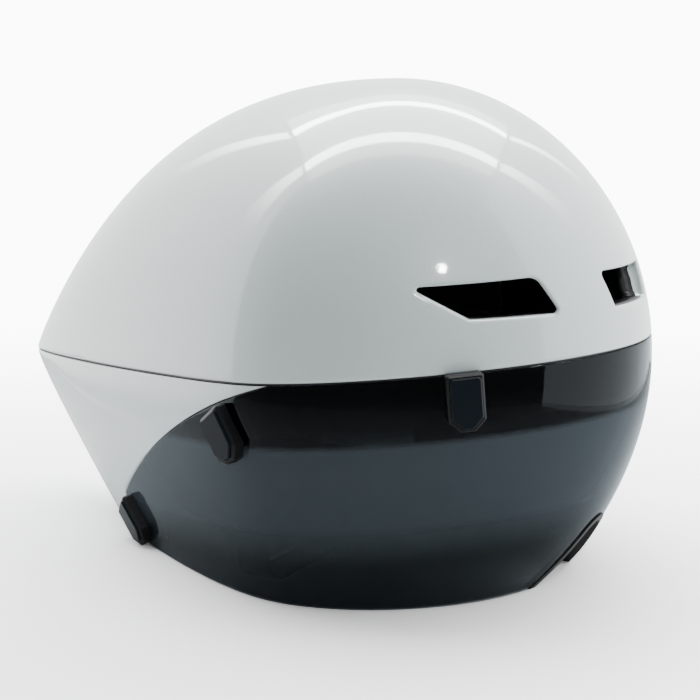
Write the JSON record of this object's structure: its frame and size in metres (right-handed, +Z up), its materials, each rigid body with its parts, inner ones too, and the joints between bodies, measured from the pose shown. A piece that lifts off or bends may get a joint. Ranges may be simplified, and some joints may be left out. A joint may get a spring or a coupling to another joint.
{
  "type": "aero time trial helmet",
  "caption": "Short-tail aerodynamic cycling helmet with a smoked wrap visor on magnetic clips, brow vents, foam liner, dial-adjusted rear cradle and chin strap.",
  "frame": {"origin": "middle of the overall box in plan, on the table plane that the lower rims stand on", "axes": "+Z up, -Y the way the wearer faces, +X to the wearer's left"},
  "size_m": [0.2128, 0.3217, 0.208],
  "materials": {
    "shell_gloss": "gloss pearl light grey",
    "smoked_lens": "gloss smoked",
    "black_rubber": "satin",
    "black_foam": "matt moulded foam",
    "pad_fabric": "brushed knit",
    "webbing": "woven",
    "black_plastic": "satin",
    "gear_plastic": "satin acetal",
    "knob_rubber": "satin",
    "clip_base": "satin",
    "clip_face": "satin dark blue grey",
    "screw_steel": "zinc plated",
    "magnet_nickel": "nickel plated"
  },
  "bodies": {
    "helmet": {"brow_pad": "pad_fabric", "buckle_socket": "black_plastic", "chin_pad": "pad_fabric", "crown_liner": "black_foam", "crown_pads": "pad_fabric", "dock_magnets": "magnet_nickel", "height_anchor": "black_plastic", "left_chin_strap": "webbing", "left_front_strap": "webbing", "left_rear_strap": "webbing", "left_side_pad": "pad_fabric", "left_strap_divider": "black_plastic", "lower_shell": "shell_gloss", "magnet_dock_low_rear_left": "black_plastic", "magnet_dock_low_rear_right": "black_plastic", "magnet_dock_top_front_left": "black_plastic", "magnet_dock_top_front_right": "black_plastic", "magnet_dock_top_rear_left": "black_plastic", "magnet_dock_top_rear_right": "black_plastic", "nape_liner": "black_foam", "right_chin_strap": "webbing", "right_front_strap": "webbing", "right_rear_strap": "webbing", "right_side_pad": "pad_fabric", "right_strap_divider": "black_plastic", "seam_gasket": "black_rubber", "strap_anchors": "black_plastic", "upper_shell": "shell_gloss"},
    "visor": {"visor_lens": "smoked_lens", "visor_top_gasket": "black_rubber", "nose_trim": "black_rubber", "visor_magnets": "magnet_nickel", "clip_cap_low_rear_left": "clip_face", "clip_cap_low_rear_right": "clip_face", "clip_cap_top_front_left": "clip_face", "clip_cap_top_front_right": "clip_face", "clip_cap_top_rear_left": "clip_face", "clip_cap_top_rear_right": "clip_face", "clip_low_rear_left": "clip_base", "clip_low_rear_right": "clip_base", "clip_top_front_left": "clip_base", "clip_top_front_right": "clip_base", "clip_top_rear_left": "clip_base", "clip_top_rear_right": "clip_base"},
    "cradle": {"occipital_cradle": "black_plastic", "dial_housing": "black_plastic", "dial_cover": "black_plastic", "housing_screws": "screw_steel", "nape_pads": "pad_fabric"},
    "dial": {"dial_knob": "knob_rubber", "dial_pinion": "gear_plastic", "dial_screw": "screw_steel"},
    "left_headband_arm": {"left_arm": "black_plastic"},
    "right_headband_arm": {"right_arm": "black_plastic"},
    "buckle_half": {"buckle_insert": "black_plastic"}
  },
  "joints": [
    {"name": "visor_pull", "type": "slide", "parent": "helmet", "child": "visor", "axis": [0, 0, -1], "range_m": [0, 0.03]},
    {"name": "cradle_height", "type": "slide", "parent": "helmet", "child": "cradle", "axis": [0, 0, 1], "range_m": [-0.005, 0.005]},
    {"name": "dial_turn", "type": "hinge", "parent": "cradle", "child": "dial", "pos_m": [0, 0.0393, 0.056], "axis": [0, 1, 0], "range_deg": [-25, 25]},
    {"name": "left_arm_slide", "type": "slide", "parent": "cradle", "child": "left_headband_arm", "axis": [1, 0, 0], "range_m": [-0.00265, 0.00265]},
    {"name": "right_arm_slide", "type": "slide", "parent": "cradle", "child": "right_headband_arm", "axis": [-1, 0, 0], "range_m": [-0.00265, 0.00265]},
    {"name": "buckle_release", "type": "slide", "parent": "helmet", "child": "buckle_half", "axis": [-1, 0, 0], "range_m": [0, 0.016]}
  ],
  "couplings": [
    {"joint": "left_arm_slide", "follows": "dial_turn", "m_per_rad": 0.006},
    {"joint": "right_arm_slide", "follows": "dial_turn", "m_per_rad": 0.006}
  ]
}
